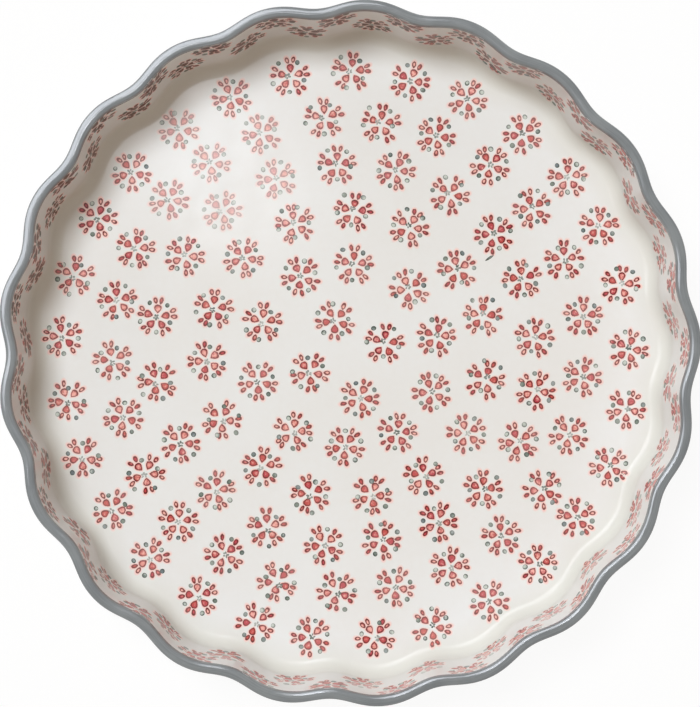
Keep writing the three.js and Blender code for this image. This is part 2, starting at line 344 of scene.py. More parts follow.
class Section:
    """The dish's cross-section and flutes, worked out from its form."""

    # How far from the grey band the wall still follows its edge, how far the painted shade in the hollow
    # below the wall reaches, the power with which the flutes die out towards the middle of the floor, and the
    # waves of
    # the brushed edge: how often each goes round the dish, and its share

    WALL_EDGE_REACH = 4 * MM
    HOLLOW_SHADE_REACH = 10 * MM
    FLUTE_FADE = 4
    WANDER_WAVES = ((7, 1.0), (19, 0.7), (43, 0.4))

    # Facets along each stretch. The rim's are its four arcs, from the inside out.

    FLOOR_STEPS = 16
    FILLET_STEPS = 14
    WALL_STEPS = 16
    BAND_STEPS = 8
    RIM_STEPS = (7, 5, 6, 8)
    OUTER_BAND_STEPS = 10
    OUTER_WALL_STEPS = 12
    HEEL_STEPS = 10
    UNDER_STEPS = 6
    FOOT_STEPS = 5
    RECESS_STEPS = 8

    def __init__(self, form):
        self.form = form
        self.crest_r = form.rim_radius - form.rim_crest_inset
        self.outer_meet, self.outer_edge = self.rim_side(
            1, form.rim_crest_inset, form.rim_outer_crown, form.rim_outer_edge
        )
        self.inner_meet, self.inner_edge = self.rim_side(
            -1, form.rim_thickness - form.rim_crest_inset, form.rim_inner_crown, form.rim_inner_edge
        )
        self.inner_tangent = self.inner_edge + form.rim_inner_edge * heading(math.pi - form.inner_draft)
        self.outer_tangent = self.outer_edge + form.rim_outer_edge * heading(-form.outer_draft)
        self.band_inside = self.inner_wall(self.inner_tangent.y - form.band_inside)
        self.band_outside = self.outer_wall(self.outer_tangent.y - form.band_outside)
        fillet_rise = form.inner_fillet * (1 - math.sin(form.inner_draft))
        self.fillet_top = self.inner_wall(form.floor_top + fillet_rise)
        self.floor_edge = self.fillet_top.x - form.inner_fillet * math.cos(form.inner_draft)
        self.bend = form.inner_fillet * (math.pi / 2 - form.inner_draft)
        self.fillet_middle = Vector((self.floor_edge, form.floor_top + form.inner_fillet))
        down_and_out = heading(-(math.pi / 2 + form.inner_draft) / 2)
        self.hollow = self.fillet_middle + form.inner_fillet * down_and_out
        heel_rise = form.heel_radius * (1 - math.sin(form.outer_draft))
        self.heel_top = self.outer_wall(form.foot_height + heel_rise)
        self.heel_edge = self.heel_top.x - form.heel_radius * math.cos(form.outer_draft)
        self.foot_outer = form.foot_inner + form.foot_width
        chance = random.Random(form.seed)
        self.phases = {side: [chance.uniform(0, math.tau) for _ in self.WANDER_WAVES] for side in (1, -1)}

    def rim_side(self, side, width, crown, edge):
        """Where the rim's crown turns into its rounded edge, and the middle of that rounding."""
        meet = math.asin((width - edge) / (crown - edge))
        middle = self.under_crest(crown) + (crown - edge) * Vector((side * math.sin(meet), math.cos(meet)))
        return meet, middle

    def under_crest(self, depth):
        return Vector((self.crest_r, self.form.height - depth))

    def inner_wall(self, z):
        drop = self.inner_tangent.y - z
        return Vector((self.inner_tangent.x - drop * math.tan(self.form.inner_draft), z))

    def outer_wall(self, z):
        drop = self.outer_tangent.y - z
        return Vector((self.outer_tangent.x - drop * math.tan(self.form.outer_draft), z))

    def push(self, theta):
        """How far the flutes and the firing push the wall out at an angle round the dish."""
        form = self.form
        turn = form.flute_count * (theta - form.flute_drift * math.cos(theta - form.flute_drift_from))
        wave = math.cos(turn) - form.flute_tightness * math.cos(2 * turn)
        depth = form.flute_depth * (1 + form.flute_unevenness * math.cos(theta - form.flute_deepest))
        oval = form.ovality * math.cos(2 * (theta - form.oval_side))
        trefoil = form.trefoil * math.cos(3 * (theta - form.trefoil_side))
        return depth * wave + oval + trefoil

    def wander(self, theta, side):
        """How far the brushed edge of the grey band strays up or down, inside (1) or outside (-1)."""
        waves = zip(self.WANDER_WAVES, self.phases[side])
        stray = sum(share * math.sin(count * theta + phase) for (count, share), phase in waves)
        return self.form.band_wander * stray / 2

    def place(self, spot, theta, lift=0.0):
        """Where a spot lies once the section is turned to an angle, raised by lift off the surface."""
        r = spot.r + spot.flute * self.push(theta) + lift * spot.out_r
        z = spot.z + lift * spot.out_z
        if spot.edge:
            inside = spot.edge > 0
            draft = self.form.inner_draft if inside else self.form.outer_draft
            stray = abs(spot.edge) * self.wander(theta, 1 if inside else -1)
            r += stray * math.sin(draft)
            z += stray * math.cos(draft)
        return Vector((r * math.cos(theta), r * math.sin(theta), z))

    def hollow_shade(self, r, z):
        """How much painted shade darkens the cream at a place of the section: most in the hollow below the
        wall.
        """
        return 1 - smooth((Vector((r, z)) - self.hollow).length / self.HOLLOW_SHADE_REACH)

    def near_band(self, spots, edge_z, side, reach):
        """Wall spots, told how closely they follow the brushed edge of the grey band."""
        return [s._replace(edge=side * (1 - smooth(abs(s.z - edge_z) / reach))) for s in spots]

    def inside(self):
        form = self.form
        middle, edge = Vector((0, form.floor_top)), Vector((self.floor_edge, form.floor_top))
        flat = line(middle, edge, self.FLOOR_STEPS)
        floor = [s._replace(flute=(s.r / self.floor_edge) ** self.FLUTE_FADE) for s in flat]
        fillet = arc(
            edge + Vector((0, form.inner_fillet)), form.inner_fillet,
            -math.pi / 2, -form.inner_draft, self.FILLET_STEPS, hollow=True,
        )
        wall = line(self.fillet_top, self.band_inside, self.WALL_STEPS)
        return join(floor, fillet, self.near_band(wall, self.band_inside.y, 1, self.WALL_EDGE_REACH))

    def rim(self):
        form = self.form
        up = math.pi / 2
        inner_meet, outer_meet = up + self.inner_meet, up - self.outer_meet
        edge_in, crown_in, crown_out, edge_out = self.RIM_STEPS
        inner = line(self.band_inside, self.inner_tangent, self.BAND_STEPS)
        over = join(
            arc(self.inner_edge, form.rim_inner_edge, math.pi - form.inner_draft, inner_meet, edge_in),
            arc(self.under_crest(form.rim_inner_crown), form.rim_inner_crown, inner_meet, up, crown_in),
            arc(self.under_crest(form.rim_outer_crown), form.rim_outer_crown, up, outer_meet, crown_out),
            arc(self.outer_edge, form.rim_outer_edge, outer_meet, -form.outer_draft, edge_out),
        )
        outer = line(self.outer_tangent, self.band_outside, self.OUTER_BAND_STEPS)
        return join(
            self.near_band(inner, self.band_inside.y, 1, form.band_inside),
            over,
            self.near_band(outer, self.band_outside.y, -1, self.WALL_EDGE_REACH),
        )

    def outside(self):
        form = self.form
        wall = line(self.band_outside, self.heel_top, self.OUTER_WALL_STEPS)
        heel_middle = Vector((self.heel_edge, form.foot_height + form.heel_radius))
        heel = arc(heel_middle, form.heel_radius, -form.outer_draft, -math.pi / 2, self.HEEL_STEPS)
        start, end = (Vector((r, form.foot_height)) for r in (self.heel_edge, self.foot_outer))
        run = line(start, end, self.UNDER_STEPS)
        span = self.heel_edge - self.foot_outer
        under = [s._replace(flute=smooth((s.r - self.foot_outer) / span)) for s in run]
        return join(self.near_band(wall, self.band_outside.y, -1, self.WALL_EDGE_REACH), heel, under)

    def foot(self):
        form = self.form
        outer = Vector((self.foot_outer - form.foot_edge, form.foot_edge))
        inner = Vector((form.foot_inner + form.foot_edge, form.foot_edge))
        ring = [
            *arc(outer, form.foot_edge, 0, -math.pi / 2, self.FOOT_STEPS),
            *arc(inner, form.foot_edge, -math.pi / 2, -math.pi, self.FOOT_STEPS),
        ]
        return [s._replace(flute=0.0) for s in ring]

    def underside(self):
        form = self.form
        start, end = (Vector((r, form.foot_height)) for r in (form.foot_inner, 0))
        recess = line(start, end, self.RECESS_STEPS)
        return [s._replace(flute=0.0) for s in recess]

    def wall_length(self):
        """From the top of the fillet up the inner wall to the grey band."""
        return (self.band_inside - self.fillet_top).length

    def up_the_wall(self, way):
        """The spot a distance up the inner wall from its fillet, or down the fillet and over the floor."""
        form = self.form
        if way >= 0:
            rise = way * math.cos(form.inner_draft)
            place = self.inner_wall(min(self.fillet_top.y + rise, self.inner_tangent.y))
            return Spot(place.x, place.y, -math.cos(form.inner_draft), math.sin(form.inner_draft))
        if way >= -self.bend:
            out = heading(way / form.inner_fillet - form.inner_draft)
            place = self.fillet_middle + form.inner_fillet * out
            return Spot(place.x, place.y, -out.x, -out.y)
        return Spot(self.floor_edge + self.bend + way, form.floor_top, 0, 1)


# Pieces

COLUMNS_PER_FLUTE = 24
ON_AXIS = 1e-7
SHARP_ANGLE = math.radians(40)


def sink(spots, depth):
    return [s._replace(r=s.r - depth * s.out_r, z=s.z - depth * s.out_z) for s in spots]


def ways_along(spots):
    """How far along the section each spot lies from the first."""
    ways = [0.0]
    for here, there in zip(spots, spots[1:]):
        ways.append(ways[-1] + math.hypot(there.r - here.r, there.z - here.z))
    return ways


def trim(spots, gap):
    """Spots with each end that isn't on the axis drawn back by half a gap."""
    trimmed = list(spots)
    for end, neighbour in ((0, 1), (-1, -2)):
        here, there = spots[end], spots[neighbour]
        if here.r > ON_AXIS:
            run = Vector((there.r - here.r, there.z - here.z)).normalized() * (gap / 2)
            trimmed[end] = here._replace(r=here.r + run.x, z=here.z + run.y)
    return trimmed


def coat(face, depth):
    """The loop of a coat: along its face and back under it, from the axis to the axis or closed on itself."""
    back = sink(face, depth)[::-1]
    if face[-1].r <= ON_AXIS:
        return [*back, *face]
    return [*face, *back]


def turned(name, section, loop):
    """A loop of spots turned about the axis into a closed mesh, with the lie of the maker's hand on it."""
    columns = section.form.flute_count * COLUMNS_PER_FLUTE
    on_axis = loop[0].r <= ON_AXIS
    ways = ways_along(loop)
    ring = range(1, len(loop) - 1) if on_axis else range(len(loop))
    points, lies, hollow_shades, faces = [], [], [], []
    for j in range(columns):
        theta = math.tau * j / columns
        around = section.form.rim_radius * heading(theta)
        points += [section.place(loop[i], theta) for i in ring]
        lies += [(around.x, around.y, ways[i]) for i in ring]
        hollow_shades += [section.hollow_shade(loop[i].r, loop[i].z) for i in ring]
    count = len(ring)
    for j in range(columns):
        here, there = j * count, (j + 1) % columns * count
        for i in range(count - 1):
            faces.append((here + i, here + i + 1, there + i + 1, there + i))
        if not on_axis:
            faces.append((here + count - 1, here, there, there + count - 1))
    if on_axis:
        first, last = len(points), len(points) + 1
        points += [section.place(loop[0], 0.0), section.place(loop[-1], 0.0)]
        lies += [(0, 0, ways[0]), (0, 0, ways[-1])]
        hollow_shades += [0, 0]
        for j in range(columns):
            here, there = j * count, (j + 1) % columns * count
            faces.append((first, here, there))
            faces.append((here + count - 1, last, there + count - 1))
    mesh = bpy.data.meshes.new(name)
    mesh.from_pydata(points, [], faces)
    lie = mesh.attributes.new("lie", "FLOAT_VECTOR", "POINT")
    lie.data.foreach_set("vector", [value for place in lies for value in place])
    # The painted shade of the hollow below the wall, which the cream's colour reads.
    mesh.attributes.new("hollow_shade", "FLOAT", "POINT").data.foreach_set("value", hollow_shades)
    mesh.shade_smooth()
    mesh.set_sharp_from_angle(angle=SHARP_ANGLE)
    return add_piece(name, mesh)


def add_piece(name, mesh):
    piece = bpy.data.objects.new(name, mesh)
    bpy.context.scene.collection.objects.link(piece)
    return piece


def finish_piece(piece, material, slot, *nodes):
    """Gives a piece its material, hangs it on the dish's body, and hides the frame's parts that it stands
    for. The slot is not used.
    """
    piece.data.materials.append(material)
    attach(piece, BODY)
    if nodes:
        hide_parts(*nodes)


# Marks of underglaze colour. A mark lies in the plane of its rosette: u points away from the middle of the
# dish, or up the wall, and v goes round the dish. Its pool is where its colour has run thinnest, and its
# slope is how much lower its edge lies than its middle.

Mark = namedtuple("Mark", "u v turn length width point pool bleed ink fill lift")

MARK_RINGS = (1.0, 0.72, 0.42)
MARK_SIDES = 14
MARK_DEPTH = 0.03 * MM
MARK_SLOPE = 0.3
MARK_BLEED = 0.9 * MM
MARK_POOL = (0.0, 0.45)
DOT_POOL = (0.375, 0.75)
DOT_EXTRA_LIFT = 0.012 * MM


def mark_outline(mark):
    """A drop with its pointed end towards -u before it is turned. A point of 0 makes an ellipse."""
    turns = [math.tau * i / MARK_SIDES for i in range(MARK_SIDES)]
    taper = [math.sin(a) * ((1 + math.cos(a)) / 2 + 1e-9) ** mark.point for a in turns]
    widest = max(taper)
    return [
        (mark.length / 2 * math.cos(a), mark.width / 2 * across / widest) for a, across in zip(turns, taper)
    ]


class MarkMesh:
    """Collects marks into one mesh, with the attributes that their material reads."""

    def __init__(self):
        self.points, self.faces = [], []
        self.values = {"depth": [], "ink": [], "fill": [], "hollow_shade": []}

    def add_point(self, place, depth, mark, section):
        self.points.append(place)
        r = place.xy.length - section.push(math.atan2(place.y, place.x))
        # Marks in the hollow below the wall take its painted shade too.
        hollow_shade = section.hollow_shade(r, place.z)
        for key, value in (("depth", depth), ("ink", mark.ink), ("fill", mark.fill), ("hollow_shade", hollow_shade)):
            self.values[key].append(value)

    def add(self, mark, stamp):
        """Adds a mark as a thin closed lens. Its depth is how far a point lies inside its outline, in mm."""
        start, sides = len(self.points), MARK_SIDES
        outline = mark_outline(mark)
        cos_turn, sin_turn = math.cos(mark.turn), math.sin(mark.turn)
        half_width = mark.width / 2
        outer = 1 + mark.bleed / half_width

        def put(ring, height, corners=outline):
            shift = max(1 - ring, 0)
            for along, across in corners:
                along = ring * along + shift * mark.pool[0] * mark.length / 2
                across = ring * across + shift * mark.pool[1] * half_width
                u = mark.u + along * cos_turn - across * sin_turn
                v = mark.v + along * sin_turn + across * cos_turn
                self.add_point(stamp.lay(u, v, height), (1 - ring) * half_width / MM, mark, stamp.section)

        rings = (outer, *MARK_RINGS) if mark.bleed else MARK_RINGS
        put(outer, -MARK_DEPTH)
        for ring in rings:
            put(ring, mark.lift * (1 - MARK_SLOPE * ring / outer))
        put(0.0, mark.lift, [(0, 0)])
        put(0.0, -MARK_DEPTH, [(0, 0)])
        top, bottom = len(self.points) - 2, len(self.points) - 1
        for i in range(sides):
            k = (i + 1) % sides
            for level in range(len(rings)):
                low, high = start + level * sides, start + (level + 1) * sides
                self.faces.append((low + i, low + k, high + k, high + i))
            last = start + len(rings) * sides
            self.faces.append((last + i, last + k, top))
            self.faces.append((start + k, start + i, bottom))

    def piece(self, name):
        mesh = bpy.data.meshes.new(name)
        mesh.from_pydata(self.points, [], self.faces)
        for key, values in self.values.items():
            mesh.attributes.new(key, "FLOAT", "POINT").data.foreach_set("value", values)
        mesh.shade_smooth()
        mesh.set_sharp_from_angle(angle=SHARP_ANGLE)
        return add_piece(name, mesh)


# How strong a stamp's ink is, which is painted paler as a highlight where the lamps' reflection lies on
# the floor and on the wall's lit side, how much of it is lost in each metre outwards or up the wall, a
# painted highlight that pales the lit side's rosettes towards their tops, how much more of it fills the
# marks, which is painted shade on the wall's shaded side, and how far they reach and how broad they are

Inking = namedtuple("Inking", "strength fade more_fill reach swell", defaults=(0.0, 0.0, 1.0, 1.0))
MOST_SHADE_FILL = 2.0


class FloorStamp:
    """Lays a rosette's plane on the floor, at a radius and an angle round the dish."""

    def __init__(self, section, way, bearing, turn):
        self.section, self.way, self.bearing = section, way, bearing
        self.cos_turn, self.sin_turn = math.cos(turn), math.sin(turn)

    def turn(self, u, v):
        return u * self.cos_turn - v * self.sin_turn, u * self.sin_turn + v * self.cos_turn

    def lay(self, u, v, height):
        along, across = self.turn(u, v)
        outward = heading(self.bearing)
        place = outward * (self.way + along) + Vector((-outward.y, outward.x)) * across
        theta = math.atan2(place.y, place.x)
        past = place.length - self.section.floor_edge - self.section.push(theta)
        if past > 0:
            return self.section.place(self.section.up_the_wall(past - self.section.bend), theta, height)
        return Vector((place.x, place.y, self.section.form.floor_top + height))

    def inking(self, pattern):
        """The ink is painted paler over one part of the floor, as a painted highlight where the lamps'
        reflection lies.
        """
        glare_middle = pattern.glare_reach * heading(pattern.glare_bearing)
        away = (self.way * heading(self.bearing) - glare_middle).length / pattern.glare_size
        return Inking(1 - pattern.glare_share * (1 - smooth(2 * away - 1)))

    def shows(self, mark):
        return True


class WallStamp(FloorStamp):
    """Lays a rosette's plane on the fluted wall, at a distance up the wall and an angle round the dish."""

    def lay(self, u, v, height):
        along, across = self.turn(u, v)
        theta = self.bearing + across / self.section.up_the_wall(self.way).r
        return self.section.place(self.section.up_the_wall(self.way + along), theta, height)

    def inking(self, pattern):
        """The ink is painted darker and fuller on the wall's shaded side, as painted shade, and paler on its
        lit side, as a painted highlight, most towards a rosette's top there.
        """
        side = (1 + math.cos(self.bearing - pattern.wall_shaded_side)) / 2
        fade = pattern.wall_lit_fade * (1 - side) / pattern.bud_reach
        strength = 1 - pattern.wall_lit_paling * (1 - side)
        more_fill = MOST_SHADE_FILL * pattern.wall_shade_ink * side
        return Inking(strength, fade, more_fill, pattern.wall_reach, 1 + pattern.wall_swell)

    def shows(self, mark):
        """Whether a mark lies below the grey band, which covers what is under it."""
        along, _ = self.turn(mark.u, mark.v)
        return self.way + along < self.section.wall_length()


# The kinds of mark in a rosette: the shares by which the reach, length and width of each may stray, how many
# degrees it may stray round the rosette and in its turn, how pointed it is, its range of ink, and how full
# it is

Kind = namedtuple("Kind", "reach bearing turn length width point inks fill")

PETAL = Kind(0.04, 3, 5, 0.07, 0.08, 0.42, (0.92, 1.0), lambda chance: chance.uniform(0.5, 1.0))
BUD = Kind(
    0.03, 2, 8, 0.08, 0.1, 0.15, (0.88, 1.0), lambda chance: chance.choice((0.0, 0.25, 0.5, 0.7, 0.9, 1.0))
)
DOT = Kind(0.06, 7, 0, 0.12, 0.12, 0.0, (0.7, 1.0), lambda chance: chance.choice((0.25, 0.5, 0.75, 1.0)))
STROKE = Kind(0.1, 16, 50, 0.25, 0.25, 0.1, (0.7, 1.0), lambda chance: 1.0)
RED_KINDS = (PETAL, BUD)

PETALS = 5
BUD_SPLAY = math.radians(8)
PRESSURE = (0.86, 1.0)
HEART_PRESSURE = (0.5, 1.0)


def rosette(stamp, pattern, chance):
    """The red marks and the grey-green marks of one rosette, a little different each time."""
    red, green = [], []
    inking = stamp.inking(pattern)

    def about(value, part):
        return value * (1 + chance.uniform(-part, part))

    def stray(degrees):
        return math.radians(chance.uniform(-degrees, degrees))

    def mark(kind, reach, bearing, turn, size, pressed, shift=(0, 0)):
        reddish = kind in RED_KINDS
        reach = inking.reach * about(reach, kind.reach)
        if kind.turn:
            turn += stray(kind.turn)
        length = inking.swell * about(size[0], kind.length)
        width = inking.swell * about(size[1], kind.width)
        ink = pressed * chance.uniform(*kind.inks)
        # On the wall's shaded side the extra fill is painted shade.
        fill = kind.fill(chance) + inking.more_fill
        pool = chance.uniform(*(MARK_POOL if reddish else DOT_POOL)) * heading(chance.uniform(0, math.tau))
        u = reach * math.cos(bearing) + shift[0]
        v = reach * math.sin(bearing) + shift[1]
        # Painted light: the ink is painted paler where a highlight falls, and on the wall's lit side towards
        # the top.
        ink *= inking.strength - inking.fade * stamp.turn(u, v)[0]
        bleed = MARK_BLEED if reddish else 0.0
        lift = pattern.lift if reddish else pattern.lift + DOT_EXTRA_LIFT
        return Mark(u, v, turn, length, width, kind.point, pool, bleed, ink, fill, lift)

    petal_size = (pattern.petal_length, pattern.petal_width)
    bud_size = (pattern.bud_length, pattern.bud_width)
    dot_size = (pattern.dot_size, pattern.dot_size)
    stroke_size = (pattern.stroke_length, pattern.stroke_width)
    pressed = chance.uniform(*PRESSURE)
    heart = chance.uniform(*HEART_PRESSURE)
    second = [shift + chance.gauss(0, pattern.dot_stray) for shift in pattern.dot_shift]
    step = math.tau / PETALS
    for k in range(PETALS):
        petal = k * step + stray(PETAL.bearing)
        red.append(mark(PETAL, pattern.petal_reach, petal, petal, petal_size, pressed))
        for side in (-1, 1):
            bud = petal + side * pattern.bud_spread + stray(BUD.bearing)
            red.append(mark(BUD, pattern.bud_reach, bud, bud + side * BUD_SPLAY, bud_size, pressed))
        dot = petal + step / 2 + stray(DOT.bearing)
        green.append(mark(DOT, pattern.dot_reach, dot, 0.0, dot_size, 1.0, second))
        stroke = petal + step / 2 + stray(STROKE.bearing)
        green.append(mark(STROKE, pattern.stroke_reach, stroke, stroke, stroke_size, heart, second))
    return red, green


def print_rosettes(stamps, pattern, chance, name, strays=()):
    """Prints a rosette with each stamp, and returns the red piece and the grey-green piece."""
    red_mesh, green_mesh = MarkMesh(), MarkMesh()
    for stamp, mark in strays:
        green_mesh.add(mark, stamp)
    for stamp in stamps:
        red, green = rosette(stamp, pattern, chance)
        for marks, mesh in ((red, red_mesh), (green, green_mesh)):
            for mark in marks:
                if stamp.shows(mark):
                    mesh.add(mark, stamp)
    return red_mesh.piece(f"{name}_petals"), green_mesh.piece(f"{name}_dots")


# Finishes. A gloss is an index of refraction and the least and most roughness. Patches are the range of a
# noise over which one tone turns into another, softly or sharply.

CREAM_GLOSS = (1.26, 0.13, 0.2)
GREY_GLOSS = (1.65, 0.1, 0.17)
SOFT_PATCHES = (0.3, 0.7)
PATCHES = (0.35, 0.65)
SHARP_PATCHES = (0.4, 0.6)

# The relief of a glaze and of bare clay, and the sizes of what varies over them

SWELL_SIZE = 22 * MM
PEEL_SIZE = 1.4 * MM
PEEL_SHARE = 0.02
GLAZE_RELIEF = 0.06 * MM
WEAR_SIZE = 9 * MM
CLOUD_SIZE = 60 * MM
MOTTLE_SIZE = 2.5 * MM
MOTTLE_SHARE = 0.2
STROKE_SIZE = (18 * MM, 0.5 * MM)
STROKE_RELIEF = 0.3
RIM_CLOUD_SIZE = 14 * MM
GRAIN_SIZE = 0.7 * MM
GRAIN_SHARE = 0.6
GRAIN_RELIEF = 0.08 * MM
STAIN_SIZE = 9 * MM
CLAY_ROUGHNESS = (0.75, 0.95)

# Ink. A line is how broad the dark outline of a mark is, in mm. Depths are in mm inside a mark's edge. How
# full a mark is decides between its pale, full and heavy colours, and the heavy colour is also the painted
# shade of the marks on the wall's shaded side.

RED_LINE = 0.38
GREEN_LINE = 0.3
LINE_FADE = 0.3
HALO_STRENGTH = 0.9
HALO_DEPTHS = (-0.75, 0.15)
INK_DEPTHS = (0.0, 0.14)
HEART_DEPTHS = (0.5, 1.3)
HEART_FILL = -0.3
BLOT_SIZE = 0.7 * MM
BLOT_DEPTH = 0.3
FLECK_SIZE = 0.8 * MM
FLECK_FILL = 1.4
HUE_SIZE = 9 * MM
PALE_TO_FULL = (0.8, 1.5)
FULL_TO_HEAVY_AND_SHADED = (1.9, 2.6)


class Finish:
    """A node material, with short ways to add nodes to it."""

    def __init__(self, name):
        self.material = bpy.data.materials.new(name)
        self.material.use_nodes = True
        self.tree = self.material.node_tree
        self.tree.nodes.clear()
        output = self.tree.nodes.new("ShaderNodeOutputMaterial")
        self.shader = self.tree.nodes.new("ShaderNodeBsdfPrincipled")
        self.tree.links.new(self.shader.outputs["BSDF"], output.inputs["Surface"])
        self.where = self.tree.nodes.new("ShaderNodeTexCoord").outputs["Object"]

    def put(self, socket, value):
        if isinstance(value, bpy.types.NodeSocket):
            self.tree.links.new(value, socket)
        elif socket.type == "RGBA" and len(value) == 3:
            socket.default_value = (*value, 1.0)
        else:
            socket.default_value = value

    def set(self, name, value):
        self.put(self.shader.inputs[name], value)

    def node(self, kind, output, values, **options):
        """A new node with its options set and its inputs fed, by name or number, and the output asked for."""
        node = self.tree.nodes.new(kind)
        for key, value in options.items():
            setattr(node, key, value)
        for key, value in values.items():
            self.put(node.inputs[key], value)
        return node.outputs[output]

    def noise(self, size, detail=3.0, where=None):
        """Noise whose features are about size across, from 0 to 1."""
        values = {"Vector": where or self.where, "Scale": 1 / size, "Detail": detail}
        return self.node("ShaderNodeTexNoise", "Fac", values)

    def spread(self, value, low, high, to_low=0.0, to_high=1.0):
        """value, eased from one range to another and held at its ends."""
        values = {"Value": value, "From Min": low, "From Max": high, "To Min": to_low, "To Max": to_high}
        return self.node("ShaderNodeMapRange", "Result", values, interpolation_type="SMOOTHSTEP")

    def total(self, *terms):
        """A weighted sum of (value, weight) pairs."""
        total = 0.0
        for value, weight in terms:
            total = self.node("ShaderNodeMath", 0, {0: value, 1: weight, 2: total}, operation="MULTIPLY_ADD")
        return total

    def product(self, first, second):
        return self.total((first, second))

    def mix(self, factor, first, second):
        return self.node("ShaderNodeMix", 2, {0: factor, 6: first, 7: second}, data_type="RGBA")

    def attribute(self, name, output="Fac"):
        return self.node("ShaderNodeAttribute", output, {}, attribute_name=name)

    def bump(self, height, depth):
        """Bends the surface's shading by a height from 0 to 1, which is depth metres tall."""
        return self.node("ShaderNodeBump", "Normal", {"Height": height, "Distance": depth, "Strength": 1.0})

    def brushed(self, along, across):
        """Noise drawn out round the dish into strokes of about that length and breadth."""
        shares = (1 / along, 1 / along, 1 / across)
        where = self.node(
            "ShaderNodeVectorMath", 0, {0: self.attribute("lie", "Vector"), 1: shares}, operation="MULTIPLY"
        )
        return self.noise(1.0, where=where)

    def glaze_surface(self, ior, smoothest, roughest, *relief):
        """The gloss of a fired glaze: a slow swell, a fine orange peel, any other relief, and wear."""
        swell = self.noise(SWELL_SIZE, detail=2.0)
        peel = self.noise(PEEL_SIZE, detail=2.0)
        self.set("Normal", self.bump(self.total((swell, 1.0), (peel, PEEL_SHARE), *relief), GLAZE_RELIEF))
        self.set("Roughness", self.spread(self.noise(WEAR_SIZE), *SOFT_PATCHES, smoothest, roughest))
        self.set("IOR", ior)


def cream_tone(finish, look):
    """The cream glaze's colour, with slow clouds and a faint fine mottle, and a painted shade in the hollow
    below the wall.
    """
    clouds = finish.noise(CLOUD_SIZE, detail=4.0)
    mottle = finish.noise(MOTTLE_SIZE, detail=2.0)
    depth = finish.total((clouds, 1 - MOTTLE_SHARE), (mottle, MOTTLE_SHARE))
    tone = finish.mix(finish.spread(depth, *SOFT_PATCHES), look.cream, look.cream_warm)
    # Painted shade: the cream darkens towards the hollow below the wall.
    return finish.mix(finish.attribute("hollow_shade"), tone, look.cream_hollow_shade)


def cream_glaze(look):
    finish = Finish("fired_cream")
    finish.set("Base Color", cream_tone(finish, look))
    finish.glaze_surface(*CREAM_GLOSS)
    return finish.material


def grey_glaze(look):
    """Grey glaze, brushed on round the rim."""
    finish = Finish("fired_grey")
    strokes = finish.brushed(*STROKE_SIZE)
    clouds = finish.noise(RIM_CLOUD_SIZE, detail=4.0)
    thick = finish.total((strokes, 0.5), (clouds, 0.5))
    finish.set("Base Color", finish.mix(finish.spread(thick, *PATCHES), look.grey, look.grey_dark))
    finish.glaze_surface(*GREY_GLOSS, (strokes, STROKE_RELIEF))
    return finish.material


def underglaze(name, look, outline_width, edge, fill, other, pale, heavy_and_shaded, halo):
    """Colour stamped under the glaze: strong at its outline, thinner in its middle, bleeding a little."""
    finish = Finish(name)
    blot = finish.noise(BLOT_SIZE, detail=2.0)
    depth = finish.total((finish.attribute("depth"), 1.0), (blot, BLOT_DEPTH))
    strength = finish.attribute("ink")
    bleed = finish.product(finish.product(finish.spread(depth, *HALO_DEPTHS), strength), HALO_STRENGTH)
    ink = finish.product(finish.spread(depth, *INK_DEPTHS), strength)
    outline = finish.spread(depth, outline_width, outline_width + LINE_FADE, 1.0, 0.0)
    heart = finish.spread(depth, *HEART_DEPTHS)
    flecks = finish.noise(FLECK_SIZE)
    fullness_and_shade = finish.total((finish.attribute("fill"), 1.0), (flecks, FLECK_FILL), (heart, HEART_FILL))
    full = finish.mix(finish.spread(finish.noise(HUE_SIZE), *SHARP_PATCHES), fill, other)
    middle = finish.mix(finish.spread(fullness_and_shade, *PALE_TO_FULL), pale, full)
    lined = finish.mix(outline, middle, edge)
    # Painted shade: on the wall's shaded side the marks are filled with the heavy colour.
    inked = finish.mix(finish.spread(fullness_and_shade, *FULL_TO_HEAVY_AND_SHADED), lined, heavy_and_shaded)
    ground = finish.mix(bleed, cream_tone(finish, look), halo)
    finish.set("Base Color", finish.mix(ink, ground, inked))
    finish.glaze_surface(*CREAM_GLOSS)
    return finish.material


def bare_clay(look):
    finish = Finish("fired_clay")
    speckle, stains = finish.noise(GRAIN_SIZE, detail=4.0), finish.noise(STAIN_SIZE)
    grain = finish.total((speckle, GRAIN_SHARE), (stains, 1 - GRAIN_SHARE))
    finish.set("Base Color", finish.mix(finish.spread(grain, *PATCHES), look.clay, look.clay_dark))
    finish.set("Normal", finish.bump(grain, GRAIN_RELIEF))
    finish.set("Roughness", finish.spread(grain, *SOFT_PATCHES, *CLAY_ROUGHNESS))
    return finish.material


# Operators

def settings(context):
    scene = context.scene
    return Section(scene.dish_form), scene.stamp_pattern, scene.glaze_finish


def once(name, make, *values):
    """The material of that name, made the first time it is asked for."""
    return bpy.data.materials.get(name) or make(*values)


class DISH_OT_clay_body(bpy.types.Operator):
    """Turns and flutes the fired clay, with its bare foot ring"""

    bl_idname = "dish.clay_body"
    bl_label = "Clay Body"

    def execute(self, context):
        section, _, look = settings(context)
        depth = section.form.glaze + GLAZE_SEAM / 2
        loop = [
            *sink(join(section.inside(), section.rim(), section.outside()), depth),
            *section.foot(),
            *sink(section.underside(), depth),
        ]
        loop = [spot._replace(edge=0.0) for spot in loop]
        piece = turned("clay_body", section, loop)
        finish_piece(piece, once("fired_clay", bare_clay, look), "bare_clay", "stoneware_body")
        return {"FINISHED"}


